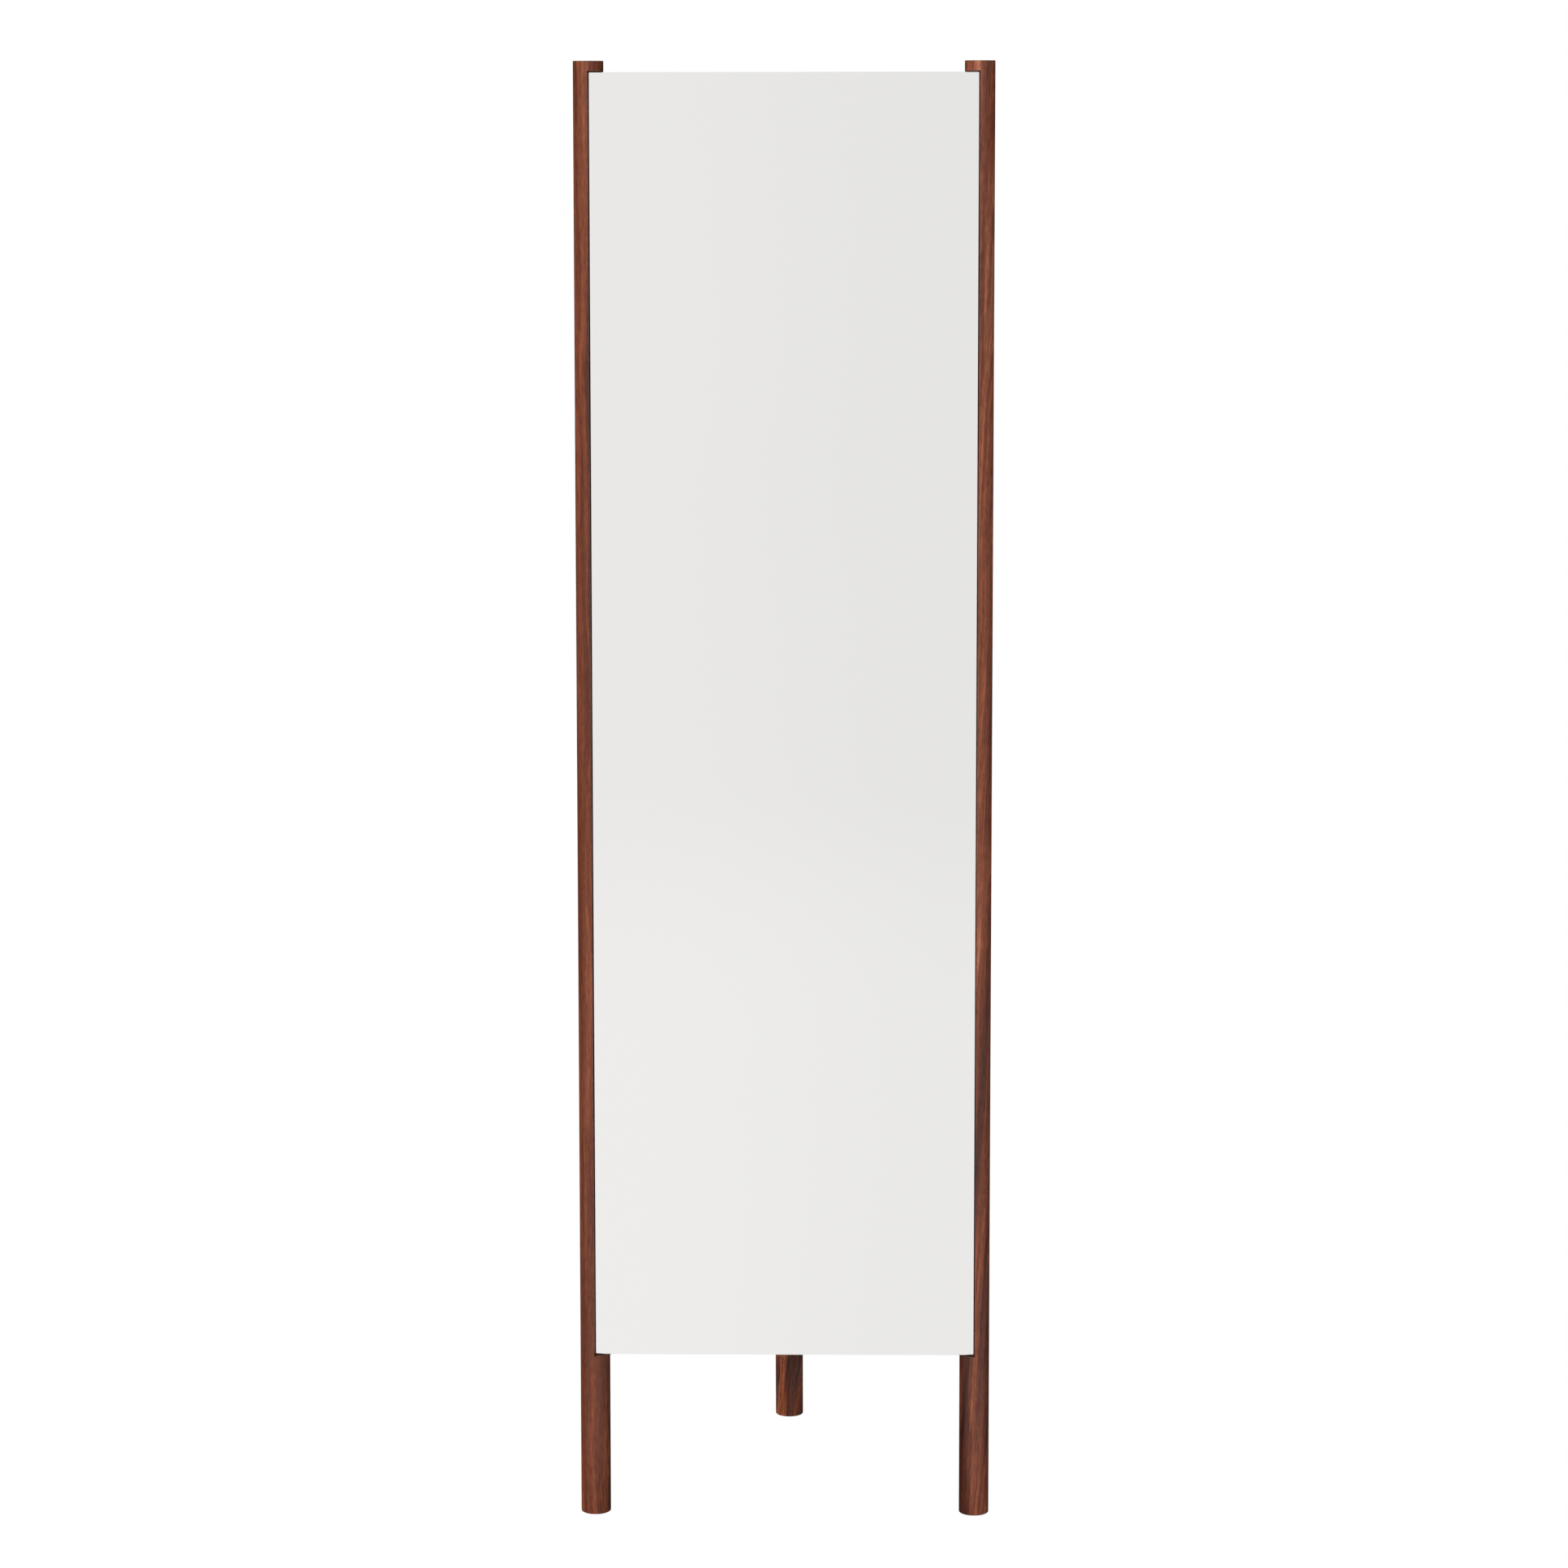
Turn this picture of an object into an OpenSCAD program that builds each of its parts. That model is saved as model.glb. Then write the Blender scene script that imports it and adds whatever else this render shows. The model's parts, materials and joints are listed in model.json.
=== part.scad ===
// Standing full-length mirror: two round walnut posts, a frameless glass let
// into them, two hidden rails and a hinged rear leg. Millimetres, +Z up,
// the mirror faces -Y, the floor is z = 0 under the middle of the footprint.

/* [Overall] */
// Height above the floor
height = 1650; // [1400:10:1900]
// Width over the two posts
width = 469; // [380:1:650]
// Backward lean of the frame, degrees
lean = 2.5; // [1:0.1:5]
// Front foot axes to the rear foot axis
foot_spread = 373; // [300:1:460]

/* [Posts and leg] */
// Diameter of the two posts
post_d = 34; // [32:0.5:40]
// Diameter of the rear leg
leg_d = 33.5; // [31:0.5:40]
// Bottom ledge of the rabbet, along the post from the floor
ledge_s = 185.3; // [150:0.1:190]
// Full-round stub left above the rabbet
top_stub = 12; // [8:0.1:40]
// Chamfer on the wooden ends
end_chamfer = 1; // [0.5:0.1:2]

/* [Mirror] */
// Glass thickness
glass_t = 4; // [3:0.5:6]
// Gap between the glass and the side wall of each rabbet
side_gap = 0.8; // [0.3:0.1:2]
// Gap between the glass and the top and bottom ledges
end_gap = 0.7; // [0.3:0.1:2]
// Arris ground on the glass edges
glass_arris = 0.5; // [0.2:0.1:1]
// Double-sided mounting tape thickness
tape_t = 1; // [0.8:0.1:2]
// Tape strip width
tape_w = 25; // [19:1:40]
// Backing board thickness
board_t = 3; // [3:0.5:6]
// Backing board set in from the glass edge
board_inset = 2; // [1:0.5:10]

/* [Rails] */
// Rail thickness
rail_t = 15; // [12:0.5:15.5]
// Bottom edge of the lower rail, along the post
lower_s = 215; // [195:1:250]
// Lower rail height
lower_h = 60; // [40:1:90]
// Bottom edge of the upper rail, along the post
upper_s = 1360; // [1340:1:1365]
// Upper rail height
upper_h = 105; // [100:1:140]
// Dowel diameter
dowel_d = 8; // [6:1:10]
// Dowel length
dowel_len = 36; // [30:1:40]

/* [Leg hinge] */
// Pivot height along the post
pivot_s = 1400; // [1395:1:1410]
// Pivot distance behind the plane of the post axes
pivot_back = 39.5; // [39:0.5:44]
// Pivot bolt diameter
bolt_d = 8; // [6:1:10]
// Outside diameter of the bush in the leg
bush_d = 12; // [10:0.5:14]
// Radial running clearance of the bush on the bolt
bush_gap = 0.05; // [0.02:0.01:0.1]
// Leg width across the flats between the bracket ears
leg_flat = 28; // [22:0.5:30]
// Leg length above the pivot
leg_top = 58; // [50:1:62]
// Bracket sheet thickness
plate_t = 3; // [2:0.5:4]
// Rubber stop pad thickness
pad_t = 2; // [1:0.5:3]

/* [Feet] */
// Floor glide diameter
glide_d = 22; // [16:1:28]
// Glide disc thickness
glide_t = 2.5; // [2:0.5:4]
// How far the glides stand proud of the wood
glide_proud = 0.5; // [0.3:0.1:1.5]

/* [Hidden] */

$fn = 96;
post_r = post_d/2;
leg_r = leg_d/2;
axis_x = width/2 - post_r;                      // post axes at x = +-axis_x
post_len = height/cos(lean);                    // along the post axis

// Footprint centred on the origin: front face of the feet to back of the leg.
leg_y = foot_spread - pivot_back*cos(lean) - pivot_s*sin(lean);
leg_z = pivot_s*cos(lean) - pivot_back*sin(lean);
leg_tilt = atan(leg_y/leg_z);                   // leg from the vertical
leg_len = norm([leg_y, leg_z]);                 // pivot to the floor
front_y = -(foot_spread + leg_r/cos(leg_tilt) - post_r/cos(lean))/2;

rabbet_top = post_len - top_stub;
glass_w = 2*(axis_x - side_gap);
glass_s = ledge_s + end_gap;
glass_h = rabbet_top - ledge_s - 2*end_gap;
rail_off = sqrt(post_r*post_r - rail_t*rail_t); // rail end to post axis
rail_len = 2*(axis_x - rail_off);
rail_arris = 1;

dowel_s = [lower_s + lower_h*0.3, lower_s + lower_h*0.7];
dowel_s_up = [upper_s + upper_h*0.25, upper_s + upper_h*0.75];
dowel_in_rail = 0.55;                           // share of a dowel inside the rail
dowel_chamfer = 1;
bore_over = 1;                                  // blind bores run on by this

tape_x = [-180, -70, 70, 180];
screw_d = 3.5;
screw_head = 7;
screw_len = 15;
screw_tip = 0.4;
recess_w = 0.8;                                 // cross recess in the screw heads
recess_t = 1.4;
recess_span = 0.54;                             // of the head diameter
post_screw_x = axis_x - 0.53*post_r;
post_screw_s = [320, 560, 800, 1040, 1280, 1560];
rail_screw_x = [-140, 0, 140];
rail_screw_s = [lower_s + lower_h/2, upper_s + upper_h - 20];

washer_t = 1;
washer_d = 16;
end_float = 0.2;                                // leg between the washers
ear_in = leg_flat/2 + end_float + washer_t;
ear_r = 11;
ear_foot = 24;                                  // ears run this far below the pivot
plate_w = 84;
plate_down = 30;
plate_up = 13;
bracket_screw_d = 4;
bracket_screw_head = 8;
bracket_screw_len = 16;
bracket_screw_x = 32;
bracket_screw_s = [pivot_s - 22, pivot_s + 5];
bolt_head_af = 13;
bolt_head_t = 5.5;
nut_t = 8;
bolt_over = 2;                                  // bolt end past the nut
shoulder_t = 32;                                // the flats start this far below the pivot
pad_w = 26;
pad_h = 30;
pad_s = pivot_s + 22;
stop_gap = 0.05;                                // leg to pad, just not pressed in

stem_d = 5;
stem_len = 12;
glide_round = 0.5;

walnut = [0.42, 0.25, 0.19];
walnut_dark = [0.33, 0.19, 0.14];
big = 2*height;

// Frame space: x, distance behind the post axes, distance up the posts.
module framed() translate([0, front_y, 0]) rotate([-lean, 0, 0]) children();

// Leg space: origin on the pivot, +Z up the leg.
module legged() translate([0, front_y + foot_spread - leg_y, leg_z])
    rotate([leg_tilt, 0, 0]) children();

// Everything above a horizontal foot cut with its edge chamfered.
module above(x, y, r) translate([x, y, glide_proud])
    cylinder(r1 = r - end_chamfer, r2 = r - end_chamfer + big, h = big);

// Everything below the horizontal top cut of a post.
module below_top(x) translate([x, front_y + height*tan(lean), height - big])
    cylinder(r1 = post_r - end_chamfer + big, r2 = post_r - end_chamfer, h = big);

// Hole in a foot for its glide, a little deeper than the stem.
module glide_hole(x, y) translate([x, y, 0]) {
    cylinder(d = glide_d, h = glide_t);
    cylinder(d = stem_d, h = glide_t + stem_len + bore_over);
}

// Countersunk wood screw, head flush at z = 0, pointing down.
module screw_body(d, head, len) {
    translate([0, 0, -(head - d)/2]) cylinder(d1 = d, d2 = head, h = (head - d)/2);
    translate([0, 0, -len + d]) cylinder(d = d, h = len - d - (head - d)/2);
    translate([0, 0, -len]) cylinder(d1 = screw_tip, d2 = d, h = d);
}

module screw(d, head, len) difference() {
    screw_body(d, head, len);
    for (a = [0, 90]) rotate([0, 0, a])
        translate([-head*recess_span/2, -recess_w/2, -recess_t])
            cube([head*recess_span, recess_w, 2*recess_t]);
}

module at_board_screws() {
    for (side = [-1, 1], s = post_screw_s)
        translate([side*post_screw_x, -board_t, s]) rotate([90, 0, 0]) children();
    for (x = rail_screw_x, s = rail_screw_s)
        translate([x, -board_t, s]) rotate([90, 0, 0]) children();
}

module at_bracket_screws() for (side = [-1, 1], s = bracket_screw_s)
    translate([side*bracket_screw_x, rail_t + plate_t, s]) rotate([-90, 0, 0]) children();

// One dowel lying along x, centred so its rail part is the longer one.
module dowel(side, s, len, chamfer) {
    x0 = axis_x - rail_off - (len - dowel_len)/2 - dowel_len*dowel_in_rail;
    translate([side > 0 ? x0 : -x0 - len, rail_t/2, s]) rotate([0, 90, 0]) {
        translate([0, 0, chamfer]) cylinder(d = dowel_d, h = len - 2*chamfer);
        if (chamfer > 0) {
            cylinder(d1 = dowel_d - 2*chamfer, d2 = dowel_d, h = chamfer);
            translate([0, 0, len - chamfer])
                cylinder(d1 = dowel_d, d2 = dowel_d - 2*chamfer, h = chamfer);
        }
    }
}

module dowel_set(heights) color([0.78, 0.62, 0.42]) framed()
    for (side = [-1, 1], s = heights) dowel(side, s, dowel_len, dowel_chamfer);

module dowel_bores(side, heights)
    for (s = heights) dowel(side, s, dowel_len + 2*bore_over, 0);

module post(side) {
    x = side*axis_x;
    inner = side > 0 ? x - post_d : x;
    housing = side > 0 ? x - post_d : x + rail_off;
    color(walnut) difference() {
        intersection() {
            framed() translate([x, 0, -post_d]) cylinder(r = post_r, h = post_len + 2*post_d);
            above(x, front_y, post_r);
            below_top(x);
        }
        framed() {
            // Rabbet for the glass and its board.
            translate([inner, -post_d, ledge_s]) cube([post_d, post_d, rabbet_top - ledge_s]);
            // Flat housings for the rail ends.
            for (r = [[lower_s, lower_h], [upper_s, upper_h]])
                translate([housing, 0, r[0]]) cube([post_d - rail_off, post_d, r[1]]);
            dowel_bores(side, concat(dowel_s, dowel_s_up));
            for (s = post_screw_s) translate([side*post_screw_x, -board_t, s])
                rotate([90, 0, 0]) screw_body(screw_d, screw_head, screw_len);
        }
        glide_hole(x, front_y);
    }
}

module left_post() post(-1);

module right_post() post(1);

module rail(s, h) difference() {
    translate([-rail_len/2, 0, s]) rotate([90, 0, 90]) linear_extrude(rail_len)
        polygon([[0, 0], [rail_t - rail_arris, 0], [rail_t, rail_arris],
            [rail_t, h - rail_arris], [rail_t - rail_arris, h], [0, h]]);
    for (side = [-1, 1]) dowel_bores(side, concat(dowel_s, dowel_s_up));
    for (x = rail_screw_x, z = rail_screw_s)
        translate([x, -board_t, z]) rotate([90, 0, 0])
            screw_body(screw_d, screw_head, screw_len);
    at_bracket_screws() screw_body(bracket_screw_d, bracket_screw_head, bracket_screw_len);
}

module upper_rail() color(walnut_dark) framed() rail(upper_s, upper_h);

module lower_rail() color(walnut_dark) framed() rail(lower_s, lower_h);

module upper_rail_dowels() dowel_set(dowel_s_up);

module lower_rail_dowels() dowel_set(dowel_s);

module backing_board() color([0.2, 0.15, 0.12]) framed() difference() {
    translate([-glass_w/2 + board_inset, -board_t, glass_s + board_inset])
        cube([glass_w - 2*board_inset, board_t, glass_h - 2*board_inset]);
    at_board_screws() screw_body(screw_d, screw_head, screw_len);
}

module board_screws() color([0.75, 0.72, 0.62]) framed()
    at_board_screws() screw(screw_d, screw_head, screw_len);

module mirror_tape_strips() color([0.92, 0.92, 0.9]) framed() for (x = tape_x)
    translate([x - tape_w/2, -board_t - tape_t, glass_s + 3*board_inset])
        cube([tape_w, tape_t, glass_h - 6*board_inset]);

// Flat glass with its front and back edges arrised.
module mirror_glass() color([0.86, 0.88, 0.89]) framed()
    translate([-glass_w/2, -board_t - tape_t - glass_t, glass_s]) hull() {
        translate([0, glass_arris, 0]) cube([glass_w, glass_t - 2*glass_arris, glass_h]);
        translate([glass_arris, 0, glass_arris])
            cube([glass_w - 2*glass_arris, glass_t, glass_h - 2*glass_arris]);
    }

// Base plate with two ears, drilled for the pivot and the four screws.
module hinge_bracket() color([0.1, 0.1, 0.1]) framed() difference() {
    union() {
        translate([-plate_w/2, rail_t, pivot_s - plate_down])
            cube([plate_w, plate_t, plate_down + plate_up]);
        for (x = [-ear_in - plate_t, ear_in]) {
            translate([x, pivot_back, pivot_s]) rotate([0, 90, 0])
                cylinder(r = ear_r, h = plate_t);
            translate([x, 0, pivot_s]) rotate([90, 0, 90]) linear_extrude(plate_t)
                polygon([[rail_t, -ear_foot], [rail_t + plate_t, -ear_foot],
                    [pivot_back, -ear_r], [pivot_back, ear_r], [rail_t, ear_r]]);
        }
    }
    translate([-plate_w/2, pivot_back, pivot_s]) rotate([0, 90, 0])
        cylinder(d = bolt_d, h = plate_w);
    at_bracket_screws() screw_body(bracket_screw_d, bracket_screw_head, bracket_screw_len);
}

module bracket_screws() color([0.12, 0.12, 0.12]) framed()
    at_bracket_screws() screw(bracket_screw_d, bracket_screw_head, bracket_screw_len);

module stop_pad() color([0.07, 0.07, 0.07]) framed()
    translate([-pad_w/2, rail_t, pad_s]) cube([pad_w, pad_t, pad_h]);

// Hexagon bolt across the bracket, head on the -X side.
module pivot_bolt() {
    x0 = -ear_in - plate_t;
    color([0.14, 0.14, 0.14]) framed() translate([x0, pivot_back, pivot_s]) rotate([0, 90, 0]) {
        translate([0, 0, -bolt_head_t]) cylinder(d = bolt_head_af/cos(30), h = bolt_head_t, $fn = 6);
        cylinder(d = bolt_d, h = -2*x0 + nut_t + bolt_over);
    }
}

module pivot_nut() color([0.14, 0.14, 0.14]) framed()
    translate([ear_in + plate_t, pivot_back, pivot_s]) rotate([0, 90, 0]) difference() {
        cylinder(d = bolt_head_af/cos(30), h = nut_t, $fn = 6);
        translate([0, 0, -1]) cylinder(d = bolt_d, h = nut_t + 2);
    }

// A nylon washer against the inside of each ear.
module pivot_washers() color([0.85, 0.84, 0.8]) framed() for (x = [-ear_in, ear_in - washer_t])
    translate([x, pivot_back, pivot_s]) rotate([0, 90, 0]) difference() {
        cylinder(d = washer_d, h = washer_t);
        translate([0, 0, -1]) cylinder(d = bolt_d, h = washer_t + 2);
    }

// Round leg with two flats and a scarf that lands on the stop pad.
module rear_leg() color(walnut_dark) difference() {
    intersection() {
        legged() {
            translate([0, 0, -leg_len - post_d])
                cylinder(r = leg_r, h = leg_len + post_d + leg_top - end_chamfer);
            translate([0, 0, leg_top - end_chamfer])
                cylinder(r1 = leg_r, r2 = leg_r - end_chamfer, h = end_chamfer);
        }
        above(0, front_y + foot_spread, (leg_r + leg_r/cos(leg_tilt))/2);
    }
    legged() {
        for (x = [-post_d - leg_flat/2, leg_flat/2])
            translate([x, -post_d, -shoulder_t]) cube([post_d, 2*post_d, shoulder_t + leg_top + 1]);
        translate([-post_d, 0, 0]) rotate([0, 90, 0]) cylinder(d = bush_d, h = 2*post_d);
    }
    framed() translate([-post_d, -post_d, pivot_s])
        cube([2*post_d, post_d + rail_t + pad_t + stop_gap, 2*leg_top]);
    glide_hole(0, front_y + foot_spread);
}

// Steel sleeve pressed through the leg.
module leg_bush() color([0.7, 0.7, 0.7]) legged()
    translate([-leg_flat/2, 0, 0]) rotate([0, 90, 0]) difference() {
        cylinder(d = bush_d, h = leg_flat);
        translate([0, 0, -1]) cylinder(d = bolt_d + 2*bush_gap, h = leg_flat + 2);
    }

// Nail-in glide: disc let into the foot, stem up into the wood.
module glide(x, y) color([0.16, 0.14, 0.13]) translate([x, y, 0]) {
    cylinder(d1 = glide_d - 2*glide_round, d2 = glide_d, h = glide_round);
    translate([0, 0, glide_round]) cylinder(d = glide_d, h = glide_t - glide_round);
    translate([0, 0, glide_t]) cylinder(d = stem_d, h = stem_len);
}

module front_glides() for (side = [-1, 1]) glide(side*axis_x, front_y);

module rear_glide() glide(0, front_y + foot_spread);

left_post();
right_post();
upper_rail();
lower_rail();
upper_rail_dowels();
lower_rail_dowels();
backing_board();
board_screws();
mirror_tape_strips();
mirror_glass();
hinge_bracket();
bracket_screws();
stop_pad();
pivot_bolt();
pivot_nut();
pivot_washers();
rear_leg();
leg_bush();
front_glides();
rear_glide();
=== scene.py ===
"""Looks of the standing mirror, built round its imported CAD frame. Metres, +Z up, mirror faces -Y."""

import json
import math

import bmesh
import bpy
from mathutils import Matrix, Vector


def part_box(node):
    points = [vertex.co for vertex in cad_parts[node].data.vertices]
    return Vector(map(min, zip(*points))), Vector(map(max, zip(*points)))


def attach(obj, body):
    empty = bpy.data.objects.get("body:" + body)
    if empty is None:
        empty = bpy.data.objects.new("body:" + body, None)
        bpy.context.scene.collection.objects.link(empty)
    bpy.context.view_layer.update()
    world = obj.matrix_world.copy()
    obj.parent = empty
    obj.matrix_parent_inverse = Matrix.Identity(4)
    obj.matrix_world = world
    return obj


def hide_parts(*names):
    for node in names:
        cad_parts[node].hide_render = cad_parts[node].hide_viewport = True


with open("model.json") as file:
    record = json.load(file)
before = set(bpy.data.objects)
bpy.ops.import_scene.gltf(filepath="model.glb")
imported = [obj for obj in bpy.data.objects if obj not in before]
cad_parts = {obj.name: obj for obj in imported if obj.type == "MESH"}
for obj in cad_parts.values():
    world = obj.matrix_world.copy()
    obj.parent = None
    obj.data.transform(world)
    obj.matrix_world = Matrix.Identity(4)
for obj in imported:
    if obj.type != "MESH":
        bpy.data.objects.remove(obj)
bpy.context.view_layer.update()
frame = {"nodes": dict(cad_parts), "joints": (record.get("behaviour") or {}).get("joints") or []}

MM = 0.001

# Driving dimensions, the same as in the CAD source.
LEAN = math.radians(2.5)
HEIGHT = 1650 * MM
FOOT_Z = 0.5 * MM
POST_R = 17 * MM
LEG_R = 16.75 * MM
ROUND = 1.0 * MM
LEDGE = 185.3 * MM
TOP_STUB = 12 * MM
GLIDE_R = 11 * MM
GLIDE_T = 2.5 * MM
RAIL_T = 15 * MM
RAIL_ARRIS = 1.2 * MM
RAIL_SPANS = {"lower_rail": (215 * MM, 60 * MM), "upper_rail": (1360 * MM, 105 * MM)}
BOARD_AND_TAPE = 4 * MM
GLASS_T = 4 * MM
END_GAP = 0.7 * MM
PANE_ARRIS = 0.5 * MM
LEG_TOP = 58 * MM
LEG_FLAT = 28 * MM
LEG_ARRIS = 0.35 * MM
SHOULDER = 32 * MM
BUSH_R = 6 * MM
STOP_PLANE = 17.05 * MM
SCARF_SPAN = (1400 * MM, 1600 * MM)

# Places read from the frame.
front_low, front_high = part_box("front_glides")
rear_low, rear_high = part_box("rear_glide")
FRONT_Y = (front_low.y + front_high.y) / 2
AXIS_X = (front_high.x - front_low.x) / 2 - GLIDE_R
REAR_Y = (rear_low.y + rear_high.y) / 2
PIVOT = Vector(frame["joints"][0]["pos_m"])
LEG_TILT = math.atan2(REAR_Y - PIVOT.y, PIVOT.z)
RABBET_TOP = HEIGHT / math.cos(LEAN) - TOP_STUB
FRAMED = Matrix.Translation((0, FRONT_Y, 0)) @ Matrix.Rotation(-LEAN, 4, "X")
LEGGED = Matrix.Translation(PIVOT) @ Matrix.Rotation(LEG_TILT, 4, "X")

scene = bpy.context.scene


# ---------------------------------------------------------------- mesh tools

def new_object(name, bm, matrix=None):
    """An object at the origin from a bmesh, which is moved by the matrix and freed."""
    if matrix is not None:
        bm.transform(matrix)
    bmesh.ops.recalc_face_normals(bm, faces=bm.faces)
    mesh = bpy.data.meshes.new(name)
    bm.to_mesh(mesh)
    bm.free()
    obj = bpy.data.objects.new(name, mesh)
    scene.collection.objects.link(obj)
    return obj


def apply_modifiers(obj):
    bpy.context.view_layer.update()
    evaluated = obj.evaluated_get(bpy.context.evaluated_depsgraph_get())
    mesh = bpy.data.meshes.new_from_object(evaluated)
    obj.modifiers.clear()
    obj.data = mesh
    return obj


def smooth(obj, degrees=35):
    """Smooth shading that keeps flat faces flat and edges sharper than the angle crisp."""
    for polygon in obj.data.polygons:
        polygon.use_smooth = True
    obj.data.set_sharp_from_angle(angle=math.radians(degrees))
    modifier = obj.modifiers.new("normals", "WEIGHTED_NORMAL")
    modifier.keep_sharp = True
    return apply_modifiers(obj)


def cut(obj, cutters):
    """Subtracts the cutters from obj and deletes them."""
    for cutter in cutters:
        modifier = obj.modifiers.new("cut", "BOOLEAN")
        modifier.operation = "DIFFERENCE"
        modifier.solver = "EXACT"
        modifier.object = cutter
    apply_modifiers(obj)
    for cutter in cutters:
        bpy.data.objects.remove(cutter)
    return obj


def bevel(obj, width, segments=3, degrees=28):
    modifier = obj.modifiers.new("bevel", "BEVEL")
    modifier.width = width
    modifier.segments = segments
    modifier.limit_method = "ANGLE"
    modifier.angle_limit = math.radians(degrees)
    return apply_modifiers(obj)


def box(low, high, matrix=None, name="box"):
    bm = bmesh.new()
    bmesh.ops.create_cube(bm, size=1)
    low, high = Vector(low), Vector(high)
    for vertex in bm.verts:
        vertex.co = Vector(low[i] + (vertex.co[i] + 0.5) * (high[i] - low[i]) for i in range(3))
    return new_object(name, bm, matrix)


def loft(name, rings, matrix):
    """Quads between rings of equal length, closed with a flat face at each end."""
    bm = bmesh.new()
    loops = [[bm.verts.new(point) for point in ring] for ring in rings]
    for lower, upper in zip(loops, loops[1:]):
        for i in range(len(lower)):
            j = (i + 1) % len(lower)
            bm.faces.new((lower[i], lower[j], upper[j], upper[i]))
    bm.faces.new(loops[0][::-1])
    bm.faces.new(loops[-1])
    return new_object(name, bm, matrix)


def quarter_steps(count):
    """Pairs (inset, rise) along a quarter round of radius 1, from the flat face to the side."""
    for i in range(count + 1):
        a = math.pi / 2 * i / count
        yield 1 - math.sin(a), 1 - math.cos(a)


# ---------------------------------------------------------------- wooden posts and leg

ARC_STEPS = 96
FILLET_STEPS = 5
WALL_STEPS = 6
RIM_STEPS = 5
STEP_ALONG = 110 * MM


def rabbet_section():
    """Section of a post, u towards the mirror and d to the rear, and the same points on the full round."""
    centre = math.sqrt((POST_R - ROUND) ** 2 - ROUND ** 2)
    edge = math.asin(ROUND / (POST_R - ROUND))
    start, end = -math.pi / 2 - edge, -2 * math.pi + edge
    arc = [start + (end - start) * i / ARC_STEPS for i in range(ARC_STEPS + 1)]
    kept = [(POST_R * math.cos(a), POST_R * math.sin(a)) for a in arc]
    notch = []
    for i in range(1, FILLET_STEPS + 1):
        a = edge - (edge + math.pi / 2) * i / FILLET_STEPS
        notch.append((centre + ROUND * math.cos(a), ROUND + ROUND * math.sin(a)))
    for i in range(1, WALL_STEPS + 1):
        notch.append((centre * (1 - i / WALL_STEPS), 0))
    for i in range(1, WALL_STEPS + 1):
        notch.append((0, -centre * i / WALL_STEPS))
    for i in range(1, FILLET_STEPS):
        a = -(math.pi / 2 + edge) * i / FILLET_STEPS
        notch.append((-ROUND + ROUND * math.cos(a), -centre + ROUND * math.sin(a)))
    span = math.pi / 2 + 2 * edge
    count = len(notch) + 1
    full, softness = [], []
    for i in range(1, count):
        a = edge - span * i / count
        full.append((math.cos(a), math.sin(a)))
        reach = min(i, count - i) / count * span * POST_R / (2.5 * ROUND)
        softness.append(min(1, reach) ** 2 * (3 - 2 * min(1, reach)))
    return kept, notch, full, softness


def post_rings():
    """Rings up a post in its own space: u inwards, d rearwards, s up the post."""
    kept, notch, full, softness = rabbet_section()
    sin, cos = math.sin(LEAN), math.cos(LEAN)

    def level(z):
        """Height along the post of the horizontal plane z, for a point at depth d."""
        return lambda d: (z + d * sin) / cos

    def round_ring(radius, height, inset=0.0):
        scale = radius / POST_R
        points = [(u * scale, d * scale) for u, d in kept]
        for (u, d), soft in zip(full, softness):
            r = radius - inset * soft
            points.append((u * r, d * r))
        return [(u, d, height(d)) for u, d in points]

    def notch_ring(s):
        return [(u, d, s) for u, d in kept + notch]

    rings = [round_ring(GLIDE_R, level(GLIDE_T)), round_ring(GLIDE_R, level(FOOT_Z))]
    for inset, rise in quarter_steps(RIM_STEPS):
        rings.append(round_ring(POST_R - inset * ROUND, lambda d, h=rise: level(FOOT_Z)(d) + h * ROUND))
    for part in (0.3, 0.65):
        rings.append(round_ring(POST_R, lambda d, s=part * LEDGE: s))
    for inset, rise in reversed(list(quarter_steps(RIM_STEPS))):
        rings.append(round_ring(POST_R, lambda d, h=rise: LEDGE - h * ROUND, inset * ROUND))
    steps = math.ceil((RABBET_TOP - LEDGE) / STEP_ALONG)
    for i in range(steps + 1):
        rings.append(notch_ring(LEDGE + (RABBET_TOP - LEDGE) * i / steps))
    for inset, rise in quarter_steps(RIM_STEPS):
        rings.append(round_ring(POST_R, lambda d, h=rise: RABBET_TOP + h * ROUND, inset * ROUND))
    for inset, rise in reversed(list(quarter_steps(RIM_STEPS))):
        rings.append(round_ring(POST_R - inset * ROUND, lambda d, h=rise: level(HEIGHT)(d) - h * ROUND))
    return rings


def make_post(name, side):
    rings = [[(-side * u, d, s) for u, d, s in ring] for ring in post_rings()]
    matrix = Matrix.Translation((side * AXIS_X, 0, 0)) @ FRAMED
    post = loft(name, rings, matrix)
    off = math.sqrt(POST_R ** 2 - RAIL_T ** 2)
    pockets = []
    for s, h in RAIL_SPANS.values():
        x = sorted((-side * off, -side * 2 * POST_R))
        pockets.append(box((x[0], 0, s), (x[1], 2 * POST_R, s + h), matrix))
    return smooth(cut(post, pockets))


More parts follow.
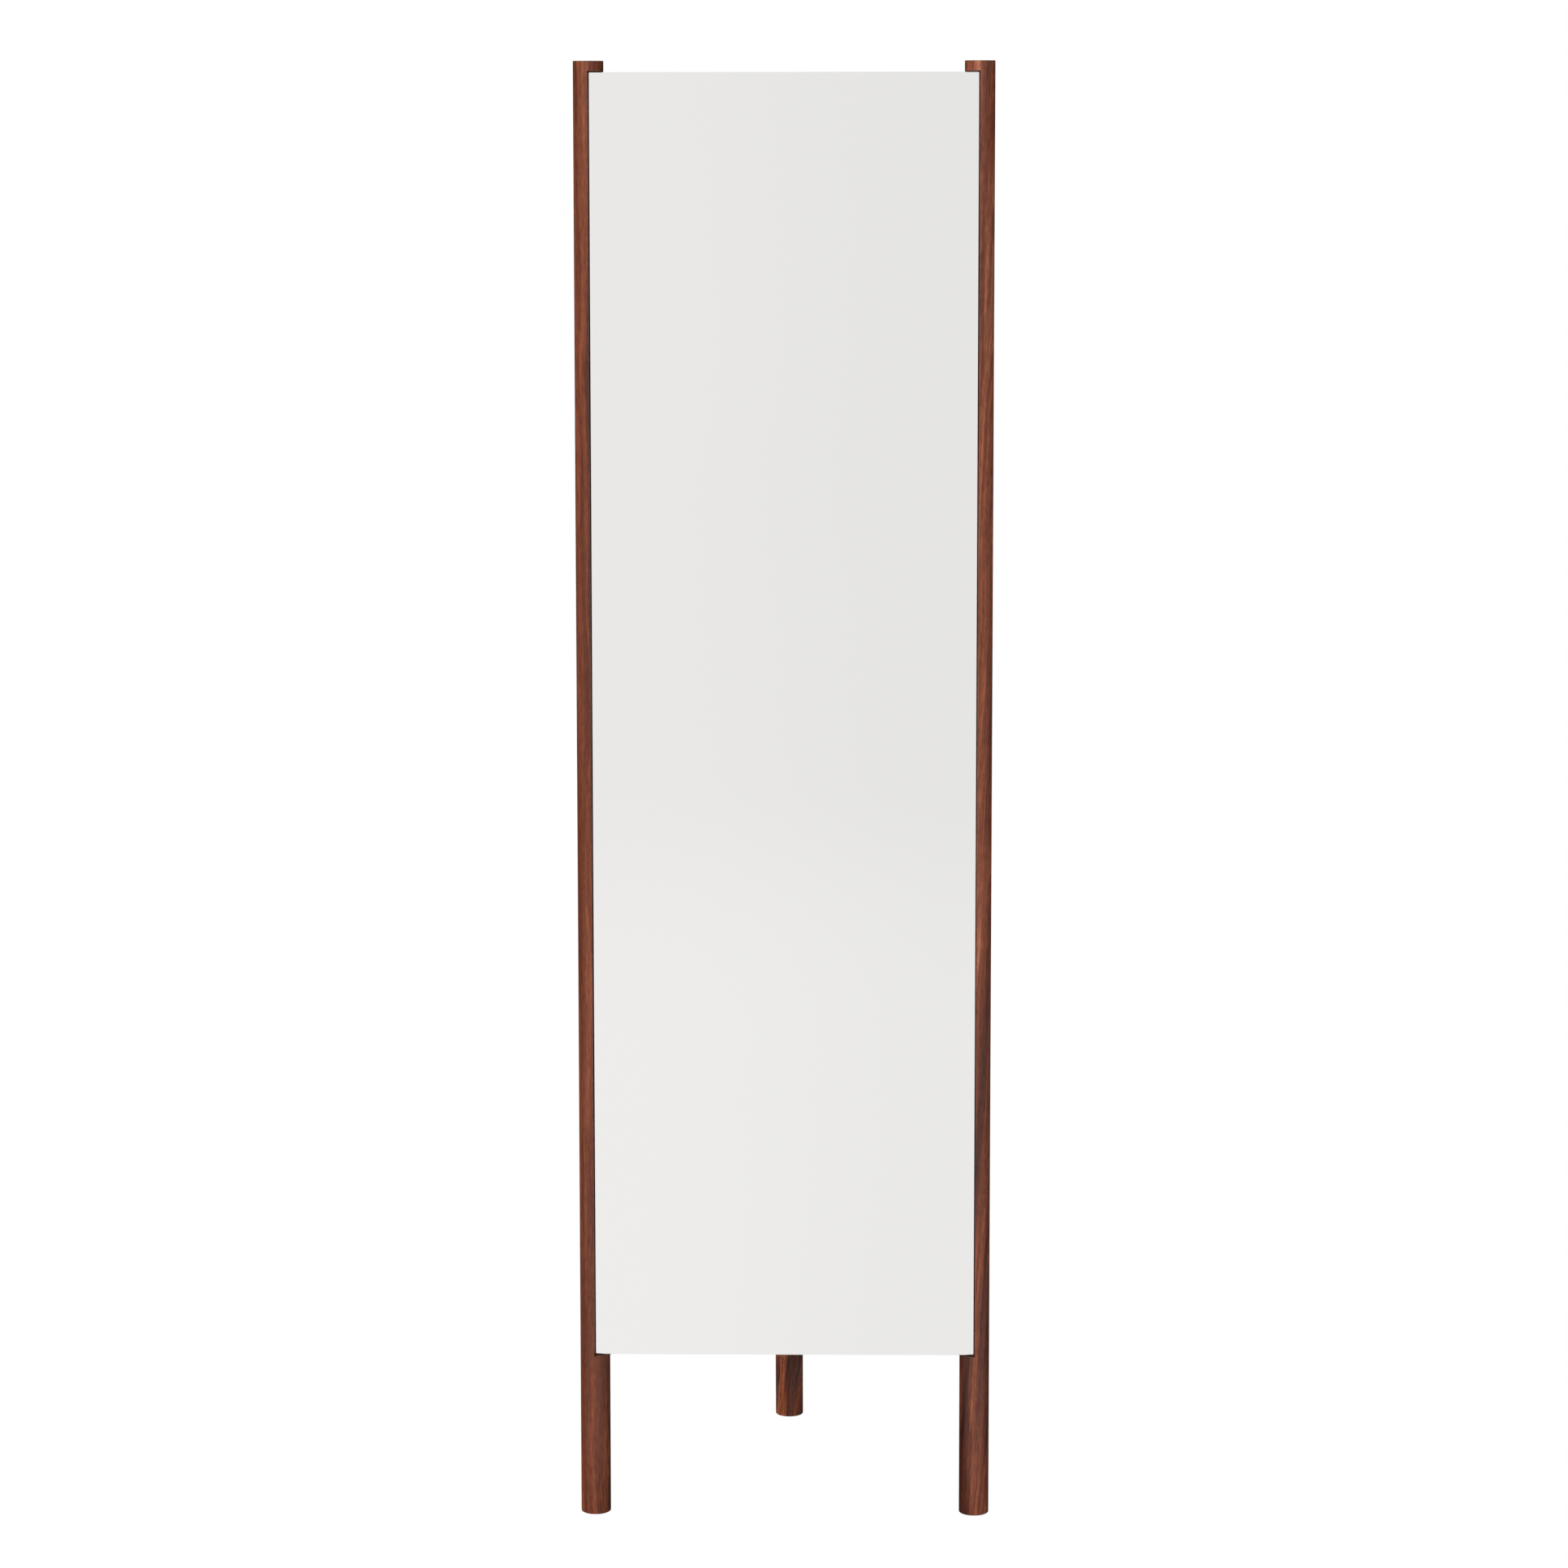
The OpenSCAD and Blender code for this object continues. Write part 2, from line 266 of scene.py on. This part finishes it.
def make_leg(name):
    def foot(z):
        return lambda d: (z - PIVOT.z - d * math.sin(LEG_TILT)) / math.cos(LEG_TILT)

    def ring(radius, height):
        points = []
        for i in range(ARC_STEPS):
            a = 2 * math.pi * i / ARC_STEPS
            u, d = radius * math.cos(a), radius * math.sin(a)
            points.append((u, d, height(d)))
        return points

    rings = [ring(GLIDE_R, foot(GLIDE_T)), ring(GLIDE_R, foot(FOOT_Z))]
    for inset, rise in quarter_steps(RIM_STEPS):
        rings.append(ring(LEG_R - inset * ROUND, lambda d, h=rise: foot(FOOT_Z)(d) + h * ROUND))
    steps = math.ceil(PIVOT.z / STEP_ALONG)
    for i in range(1, steps):
        rings.append(ring(LEG_R, lambda d, s=-PIVOT.z * (1 - i / steps): s))
    for inset, rise in reversed(list(quarter_steps(RIM_STEPS))):
        rings.append(ring(LEG_R - inset * ROUND, lambda d, h=rise: LEG_TOP - h * ROUND))
    leg = loft(name, rings, LEGGED)
    far = 3 * LEG_R
    cutters = [
        box((LEG_FLAT / 2, -far, -SHOULDER), (far, far, 2 * LEG_TOP), LEGGED),
        box((-far, -far, -SHOULDER), (-LEG_FLAT / 2, far, 2 * LEG_TOP), LEGGED),
        box((-far, -far, SCARF_SPAN[0]), (far, STOP_PLANE, SCARF_SPAN[1]), FRAMED),
    ]
    bm = bmesh.new()
    bmesh.ops.create_cone(bm, cap_ends=True, segments=64, radius1=BUSH_R, radius2=BUSH_R, depth=far)
    cutters.append(new_object("bore", bm, LEGGED @ Matrix.Rotation(math.pi / 2, 4, "Y")))
    return smooth(bevel(cut(leg, cutters), LEG_ARRIS))


def make_rail(node):
    s, h = RAIL_SPANS[node]
    half = AXIS_X - math.sqrt(POST_R ** 2 - RAIL_T ** 2)
    rail = box((-half, 0, s), (half, RAIL_T, s + h), FRAMED, node + "_wood")
    return smooth(bevel(rail, RAIL_ARRIS, 4))


# ---------------------------------------------------------------- mirror

def make_mirror(name):
    """Silvered pane: material 0 is the mirror, 1 the polished edge, 2 the painted back."""
    low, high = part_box("mirror_glass")
    half = (high.x - low.x) / 2
    front, back = -BOARD_AND_TAPE - GLASS_T, -BOARD_AND_TAPE
    pane = box((-half, front, LEDGE + END_GAP), (half, back, RABBET_TOP - END_GAP), FRAMED, name)
    bevel(pane, PANE_ARRIS, 1)
    for polygon in pane.data.polygons:
        facing = polygon.normal.y
        polygon.material_index = 0 if facing < -0.99 else 2 if facing > 0.99 else 1
    return pane


# ---------------------------------------------------------------- hardware from the CAD solids

def refine(node, name, width, segments=2, degrees=30):
    """A copy of a CAD solid with its flat faces joined up and its edges rounded."""
    bm = bmesh.new()
    bm.from_mesh(frame["nodes"][node].data)
    bmesh.ops.remove_doubles(bm, verts=bm.verts, dist=1e-6)
    bmesh.ops.dissolve_limit(bm, angle_limit=math.radians(1), verts=bm.verts, edges=bm.edges)
    obj = new_object(name, bm)
    return smooth(bevel(obj, width, segments, degrees))


# ---------------------------------------------------------------- materials

class Graph:
    """Short calls for building the nodes of one tree."""

    def __init__(self, tree):
        self.tree = tree

    def fill(self, node, inputs):
        """Puts a number, a colour or another node's socket on each input named."""
        for key, value in inputs.items():
            if isinstance(value, bpy.types.NodeSocket):
                self.tree.links.new(value, node.inputs[key])
            else:
                node.inputs[key].default_value = value

    def add(self, kind, inputs, **settings):
        node = self.tree.nodes.new(kind)
        for key, value in settings.items():
            setattr(node, key, value)
        self.fill(node, inputs)
        return node

    def math(self, operation, *values):
        return self.add("ShaderNodeMath", dict(enumerate(values)), operation=operation).outputs[0]

    def fit(self, value, low, high, to_low=0.0, to_high=1.0):
        """The value taken from low to high over to to_low to to_high, with soft ends."""
        inputs = dict(enumerate((value, low, high, to_low, to_high)))
        return self.add("ShaderNodeMapRange", inputs, interpolation_type="SMOOTHSTEP").outputs[0]

    def noise(self, vector, sizes, detail=2.0, roughness=0.5):
        """Noise whose features are as big as the sizes along X, Y and Z, in metres."""
        cells = self.add("ShaderNodeVectorMath", {0: vector, 1: sizes}, operation="DIVIDE").outputs[0]
        inputs = {"Vector": cells, "Scale": 1.0, "Detail": detail, "Roughness": roughness}
        return self.add("ShaderNodeTexNoise", inputs).outputs[0]

    def ramp(self, value, stops):
        node = self.add("ShaderNodeValToRGB", {0: value})
        ramp = node.color_ramp
        while len(ramp.elements) < len(stops):
            ramp.elements.new(0.5)
        for element, (place, colour) in zip(ramp.elements, stops):
            element.position = place
            element.color = (*colour, 1)
        return node.outputs[0]

    def mix(self, factor, a, b, blend="MIX"):
        colours = {key: (*c, 1) if isinstance(c, tuple) else c for key, c in ((6, a), (7, b))}
        inputs = {0: factor, **colours}
        return self.add("ShaderNodeMix", inputs, data_type="RGBA", blend_type=blend).outputs[2]

    def turned(self, vector, rotation, offset=(0, 0, 0)):
        inputs = {"Vector": vector, "Rotation": rotation, "Location": offset}
        return self.add("ShaderNodeMapping", inputs).outputs[0]

    def object_space(self):
        return self.add("ShaderNodeTexCoord", {}).outputs["Object"]

    def axes(self, vector):
        return self.add("ShaderNodeSeparateXYZ", {"Vector": vector}).outputs

    def bump(self, height, distance, strength):
        inputs = {"Height": height, "Distance": distance, "Strength": strength}
        return self.add("ShaderNodeBump", inputs).outputs[0]


class Surface(Graph):
    """The graph of a new material, which ends in its Principled shader."""

    def __init__(self, name):
        self.material = bpy.data.materials.new(name)
        self.material.use_nodes = True
        super().__init__(self.material.node_tree)

    def finish(self, **inputs):
        """Sets the shader's inputs, whose spaces are written as underscores."""
        shader = self.tree.nodes["Principled BSDF"]
        self.fill(shader, {key.replace("_", " "): value for key, value in inputs.items()})
        return self.material


# Colours from dark to light, as linear red, green and blue.
POST_SHADES = (
    (0.052, 0.0145, 0.0085),
    (0.108, 0.0275, 0.0125),
    (0.146, 0.0380, 0.0165),
    (0.215, 0.0680, 0.0330),
)
LEG_SHADES = (
    (0.070, 0.0285, 0.0195),
    (0.090, 0.0310, 0.0180),
    (0.150, 0.0360, 0.0135),
    (0.230, 0.0620, 0.0230),
)
SHADE_STEPS = (0.0, 0.35, 0.65, 1.0)
PORE = (0.024, 0.009, 0.007)
# Multiplier for the painted shade low on the posts' inner sides.
INNER_SHADE = (0.38, 0.32, 0.30)
PLAIN = (1.0, 1.0, 1.0)

# Sizes of the grain's features across, through and along a piece.
WAVE = (30 * MM, 30 * MM, 200 * MM)
BOARD_FIGURE = (10 * MM, 30 * MM, 400 * MM)
STREAK = (2.2 * MM, 10 * MM, 220 * MM)
THIN_STREAK = (0.8 * MM, 4 * MM, 80 * MM)
MOTTLE = (3.5 * MM, 3.5 * MM, 13 * MM)
FIBRE = (0.45 * MM, 0.45 * MM, 11 * MM)
PORES = (0.30 * MM, 0.30 * MM, 6 * MM)
WAVE_SWING = 20 * MM

# Painted shade low on the posts' inner sides: how far and how coarsely its edge wanders, and the heights
# where it is full and where it is gone.
INNER_SHADE_WANDER = 20 * MM
INNER_SHADE_NOISE = (30 * MM, 30 * MM, 120 * MM)
INNER_SHADE_FULL, INNER_SHADE_GONE = 300 * MM, 1200 * MM


def stain(g, value, low, high, spread):
    """A multiplying colour that darkens and reddens the wood where the value is low."""
    weak = tuple(1 - c * spread for c in (0.62, 0.72, 0.74))
    strong = tuple(1 + c * spread for c in (0.42, 0.52, 0.58))
    return g.ramp(value, ((low, weak), (high, strong)))


def paint_inner_shade(g, colour, dark_x, plain_x):
    """Painted shade on a post's inner side: darkens the colour low down on the side of dark_x, with an edge
    that wanders up to plain_x.
    """
    space = g.object_space()
    x, _, z = g.axes(space)
    wander = g.noise(space, INNER_SHADE_NOISE, detail=3, roughness=0.6)
    edge = g.math("MULTIPLY_ADD", wander, INNER_SHADE_WANDER, g.math("SUBTRACT", x, INNER_SHADE_WANDER / 2))
    shade = g.ramp(g.fit(edge, dark_x, plain_x), ((0.0, INNER_SHADE), (1.0, PLAIN)))
    return g.mix(g.fit(z, INNER_SHADE_FULL, INNER_SHADE_GONE, 1.0, 0.0), colour, shade, "MULTIPLY")


def walnut(name, turn, tilt, offset, shades=POST_SHADES, figure=1.0, streaks=1.0, tone=PLAIN, painted_shade_places=None):
    """Oiled walnut, drawn in three dimensions so that it runs true on every side of a piece.

    turn lays the grain along the piece, tilt slants it and offset picks the part of the tree it is
    cut from. figure, streaks and tone change contrast and colour; heart places painted shade low on a
    post's inner side.
    """
    g = Surface(name)
    base = g.turned(g.object_space(), turn, offset)
    along = g.turned(base, tilt)
    bend = g.math("SUBTRACT", g.noise(along, WAVE), 0.5)
    shift = g.add("ShaderNodeCombineXYZ", {"X": g.math("MULTIPLY", bend, WAVE_SWING)}).outputs[0]
    wavy = g.add("ShaderNodeVectorMath", {0: along, 1: shift}, operation="ADD").outputs[0]

    mottle = g.noise(base, MOTTLE, roughness=0.6)
    fibre = g.noise(along, FIBRE, roughness=0.6)
    half = 0.22 / figure
    steps = [(step, tuple(t * c for t, c in zip(tone, shade))) for step, shade in zip(SHADE_STEPS, shades)]
    colour = g.ramp(g.fit(g.noise(wavy, BOARD_FIGURE), 0.5 - half, 0.5 + half), steps)
    for layer in (
        stain(g, g.noise(wavy, STREAK, detail=3, roughness=0.6), 0.38, 0.62, 0.5 * streaks),
        stain(g, g.noise(wavy, THIN_STREAK, detail=1), 0.36, 0.64, 0.3 * streaks),
        stain(g, mottle, 0.3, 0.7, 0.3),
        stain(g, fibre, 0.32, 0.68, 0.5),
    ):
        colour = g.mix(1.0, colour, layer, "MULTIPLY")
    # Painted shade low on the post's inner side, where it faces the other post.
    if painted_shade_places:
        colour = paint_inner_shade(g, colour, *painted_shade_places)
    pore = g.fit(g.noise(along, PORES, detail=1), 0.28, 0.42, 1.0, 0.0)
    colour = g.mix(g.math("MULTIPLY", pore, 0.5), colour, PORE)
    height = g.math("SUBTRACT", g.math("MULTIPLY", fibre, 0.4), pore)
    return g.finish(
        Base_Color=colour,
        Roughness=g.fit(mottle, 0.3, 0.7, 0.46, 0.36),
        Normal=g.bump(height, 0.1 * MM, 0.4),
        Specular_IOR_Level=0.22,
    )


def even(size):
    """The same feature size along all three axes."""
    return (size, size, size)


def mirror_face():
    """Silver behind clear glass with its faint tint, painted a trace darker towards +X: painted shade in
    the reflection.
    """
    g = Surface("silvered_glass")
    space = g.object_space()
    # Painted shade: the mirror's colour darkens towards +X over a wandering edge.
    side = g.math("MULTIPLY_ADD", g.noise(space, even(500 * MM), detail=1), 150 * MM, g.axes(space)["X"])
    tint_and_painted_shade = g.mix(g.fit(side, -120 * MM, 260 * MM), (0.850, 0.842, 0.829), (0.820, 0.814, 0.803))
    return g.finish(Base_Color=tint_and_painted_shade, Metallic=1.0, Roughness=0.0)


def glass_edge():
    """Ground and polished arris of float glass."""
    g = Surface("polished_glass_edge")
    frost = g.noise(g.object_space(), even(4 * MM), detail=3)
    colour = g.mix(frost, (0.55, 0.62, 0.58), (0.66, 0.72, 0.69))
    return g.finish(Base_Color=colour, Roughness=g.fit(frost, 0.2, 0.8, 0.16, 0.3), IOR=1.52)


def mirror_back():
    """Grey paint that seals the silver."""
    g = Surface("mirror_back_paint")
    speck = g.noise(g.object_space(), even(2 * MM), detail=3)
    colour = g.mix(speck, (0.16, 0.17, 0.18), (0.2, 0.21, 0.22))
    return g.finish(Base_Color=colour, Roughness=0.55)


def hardboard():
    """Dark hardboard with a faint fibre mottle."""
    g = Surface("dark_hardboard")
    space = g.object_space()
    cloud = g.noise(space, even(50 * MM), detail=3)
    fibre = g.noise(space, even(1.2 * MM), detail=4, roughness=0.65)
    dust = g.mix(cloud, (0.040, 0.027, 0.020), (0.062, 0.042, 0.031))
    fleck = g.ramp(fibre, ((0.3, (0.70, 0.68, 0.66)), (0.7, (1.25, 1.25, 1.25))))
    return g.finish(Base_Color=g.mix(1.0, dust, fleck, "MULTIPLY"),
                    Roughness=g.fit(cloud, 0.3, 0.7, 0.5, 0.62),
                    Normal=g.bump(fibre, 0.2 * MM, 0.4))


def powder_coat():
    """Black powder coat with its orange-peel skin."""
    g = Surface("black_powder_coat")
    peel = g.noise(g.object_space(), even(1.1 * MM))
    return g.finish(Base_Color=g.mix(peel, (0.014, 0.014, 0.015), (0.024, 0.024, 0.025)),
                    Roughness=g.fit(peel, 0.3, 0.7, 0.38, 0.5),
                    Normal=g.bump(peel, 0.08 * MM, 0.5))


def plated_steel(name, colour, roughness):
    """Metal with fine drawing lines along X."""
    g = Surface(name)
    brushed = g.noise(g.object_space(), (4 * MM, 0.3 * MM, 0.3 * MM))
    dark = tuple(0.85 * c for c in colour)
    return g.finish(Base_Color=g.mix(brushed, dark, colour), Metallic=1.0,
                    Roughness=g.fit(brushed, 0.3, 0.7, roughness, roughness + 0.12))


def moulded(name, dark, light, grain, roughness, depth=0.05 * MM):
    """Plastic, rubber or foam with an even grain."""
    g = Surface(name)
    texture = g.noise(g.object_space(), even(grain), detail=3)
    return g.finish(Base_Color=g.mix(texture, dark, light),
                    Roughness=g.fit(texture, 0.3, 0.7, roughness, roughness + 0.1),
                    Normal=g.bump(texture, depth, 0.4))


def beech():
    """Pale beech with short flecks along X."""
    g = Surface("beech")
    fleck = g.noise(g.object_space(), (10 * MM, 0.6 * MM, 0.6 * MM), detail=3)
    return g.finish(Base_Color=g.mix(fleck, (0.42, 0.26, 0.14), (0.58, 0.39, 0.23)), Roughness=0.6)


def paint(obj, *materials):
    obj.data.materials.clear()
    for material in materials:
        obj.data.materials.append(material)
    return obj


# ---------------------------------------------------------------- build

def place(piece, node, body, slot, *materials):
    paint(piece, *materials)
    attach(piece, body)
    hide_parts(node)


BLACK = powder_coat()
OXIDE = plated_steel("black_oxide", (0.13, 0.13, 0.14), 0.3)
RUBBER = moulded("black_rubber", (0.012, 0.012, 0.012), (0.02, 0.02, 0.02), 0.0008, 0.72, 0.0001)
NYLON = moulded("natural_nylon", (0.72, 0.70, 0.64), (0.78, 0.76, 0.70), 0.001, 0.42)
GLIDE = moulded("dark_nylon", (0.018, 0.015, 0.013), (0.028, 0.024, 0.021), 0.001, 0.5)

UPRIGHT = (LEAN, 0.0, 0.0)
ALONG_LEG = (-LEG_TILT, 0.0, 0.0)
ACROSS = (0.0, -math.pi / 2, 0.0)
# Each post's last argument places painted shade low on its inner side.
place(make_post("left_post_wood", -1), "left_post", "frame", "walnut",
      walnut("walnut_left", UPRIGHT, (0.010, 0.006, 0.3), (0.31, 0.12, 0.4), figure=0.6, streaks=0.8,
             tone=(1.10, 1.05, 0.94), painted_shade_places=(0.018 - AXIS_X, 0.012 - AXIS_X)))
place(make_post("right_post_wood", 1), "right_post", "frame", "walnut",
      walnut("walnut_right", UPRIGHT, (0.02, -0.05, 0.2), (2.85, 1.15, 1.38), figure=0.8,
             tone=(1.48, 1.54, 1.56), painted_shade_places=(AXIS_X - 0.008, AXIS_X + 0.001)))
place(make_leg("rear_leg_wood"), "rear_leg", "rear_leg", "leg_walnut",
      walnut("walnut_leg", ALONG_LEG, (0.05, -0.12, 0.5), (2.61, 0.63, 0.65), LEG_SHADES, figure=1.4,
             streaks=1.3, tone=(1.42, 1.42, 1.40)))
rail_wood = walnut("walnut_rails", ACROSS, (0.012, 0.01, 0.9), (0.2, 1.4, 0.6), figure=0.9)
for rail in RAIL_SPANS:
    place(make_rail(rail), rail, "frame", "rail_walnut", rail_wood)
place(make_mirror("mirror_pane"), "mirror_glass", "frame", "mirror",
      mirror_face(), glass_edge(), mirror_back())
place(refine("hinge_bracket", "hinge_plate", 0.5 * MM, 3), "hinge_bracket", "frame", "black_steel", BLACK)
place(refine("bracket_screws", "hinge_screws", 0.08 * MM), "bracket_screws", "frame", "black_steel", OXIDE)
place(refine("pivot_bolt", "hinge_bolt", 0.35 * MM), "pivot_bolt", "frame", "black_steel", OXIDE)
place(refine("pivot_nut", "hinge_nut", 0.35 * MM), "pivot_nut", "frame", "black_steel", OXIDE)
place(refine("stop_pad", "leg_stop_pad", 0.4 * MM, 3), "stop_pad", "frame", "rubber", RUBBER)
place(refine("pivot_washers", "hinge_washers", 0.15 * MM), "pivot_washers", "frame", "nylon", NYLON)

nodes = frame["nodes"]
paint(nodes["backing_board"], hardboard())
paint(nodes["board_screws"], plated_steel("zinc_plate", (0.72, 0.7, 0.62), 0.3))
paint(nodes["leg_bush"], plated_steel("plain_steel", (0.6, 0.6, 0.6), 0.28))
paint(nodes["mirror_tape_strips"], moulded("foam_tape", (0.74, 0.74, 0.72), (0.82, 0.82, 0.8), 0.0006, 0.7))
for dowels in ("upper_rail_dowels", "lower_rail_dowels"):
    paint(nodes[dowels], beech())
for glides in ("front_glides", "rear_glide"):
    paint(nodes[glides], GLIDE)


# ---------------------------------------------------------------- studio

# Each light is where along Y it starts and is full, and its brightness behind and before the mirror.
SOFT_LIGHT = (0.1, -0.75, 0.55, 1.35)
SHINE = (-0.5, -0.95, 0.02, 2.3)
SOFT_SIDE = math.radians(10)
BACKDROP = 0.96

# The floor's own light: metres along Y, then brightness.
FLOOR_SIZE = 30
FLOOR_SOFT = 0.6
FLOOR_SHEEN = (-1.0, -3.5, 1.9, 0.5)
FLOOR_EDGE = (-0.15, -0.5, 0.02)
FLOOR_MIRRORED = (-4.0, -12.0, 1.0, BACKDROP)
MIDDLE = Vector((0, 0, 0.8))


def seen(g, diffuse, glossy, mirrored):
    """A strength that is white to the camera, nearly white in the mirror and softer on rough surfaces."""
    rays = g.add("ShaderNodeLightPath", {}).outputs
    strength = diffuse
    for ray, value in (("Is Glossy Ray", glossy), ("Is Singular Ray", mirrored), ("Is Camera Ray", 1.0)):
        inputs = {0: rays[ray], 2: strength, 3: value}
        strength = g.add("ShaderNodeMix", inputs, data_type="FLOAT").outputs[0]
    return strength


def make_floor():
    bm = bmesh.new()
    bmesh.ops.create_grid(bm, x_segments=2, y_segments=2, size=FLOOR_SIZE)
    floor = new_object("studio_floor", bm, Matrix.Translation((0, 0, -0.2 * MM)))
    g = Surface("pale_floor")
    y = g.axes(g.object_space())["Y"]
    sheen = g.fit(y, *FLOOR_EDGE, g.fit(y, *FLOOR_SHEEN))
    strength = seen(g, FLOOR_SOFT, sheen, g.fit(y, *FLOOR_MIRRORED))
    paint(floor, g.finish(Base_Color=(0, 0, 0, 1), Roughness=1.0, Specular_IOR_Level=0.0,
                          Emission_Color=(1, 1, 1, 1), Emission_Strength=strength))


def make_world():
    """White background, and for the object a broad soft light before the mirror that fades behind it."""
    world = bpy.data.worlds.new("studio")
    scene.world = world
    world.use_nodes = True
    world.node_tree.nodes.clear()
    g = Graph(world.node_tree)
    direction = g.add("ShaderNodeTexCoord", {}).outputs["Generated"]
    inputs = {"Vector": direction, "Angle": SOFT_SIDE}
    turned = g.add("ShaderNodeVectorRotate", inputs, rotation_type="Z_AXIS").outputs[0]
    soft = g.fit(g.axes(turned)["Y"], *SOFT_LIGHT)
    shine = g.fit(g.axes(direction)["Y"], *SHINE)
    inputs = {"Color": (1, 1, 1, 1), "Strength": seen(g, soft, shine, BACKDROP)}
    g.add("ShaderNodeOutputWorld", {0: g.add("ShaderNodeBackground", inputs).outputs[0]})


def area_light(name, place, size, power):
    """A soft box that shines at the middle of the mirror, and that no reflection shows."""
    data = bpy.data.lights.new(name, "AREA")
    data.shape = "RECTANGLE"
    data.size, data.size_y = size
    data.energy = power
    light = bpy.data.objects.new(name, data)
    light.location = place
    light.rotation_euler = (MIDDLE - Vector(place)).to_track_quat("-Z", "Y").to_euler()
    light.visible_glossy = False
    light.visible_camera = False
    scene.collection.objects.link(light)


def make_camera():
    distance, height, side = 4.7969, 1.6230, 0.0772
    pitch, yaw, roll = (math.radians(a) for a in (9.165, -0.920, -0.0743))
    focal_px, frame_px, sensor = 5336.5, 1932, 36.0
    ahead = Vector((math.sin(yaw) * math.cos(pitch), math.cos(yaw) * math.cos(pitch), -math.sin(pitch)))
    right = Vector((math.cos(yaw), -math.sin(yaw), 0))
    up = right.cross(ahead)
    x = math.cos(roll) * right + math.sin(roll) * up
    y = math.cos(roll) * up - math.sin(roll) * right
    data = bpy.data.cameras.new("camera")
    data.sensor_width = sensor
    data.lens = focal_px / frame_px * sensor
    camera = bpy.data.objects.new("camera", data)
    camera.matrix_world = Matrix((
        (x.x, y.x, -ahead.x, side),
        (x.y, y.y, -ahead.y, FRONT_Y - distance),
        (x.z, y.z, -ahead.z, height),
        (0, 0, 0, 1),
    ))
    scene.collection.objects.link(camera)
    scene.camera = camera


make_camera()
make_floor()
make_world()
area_light("key", (-2.2, -2.6, 2.2), (1.4, 2.2), 65)
area_light("rim", (-2.6, 1.5, 1.8), (0.9, 2.2), 60)
scene.view_settings.view_transform = "Standard"
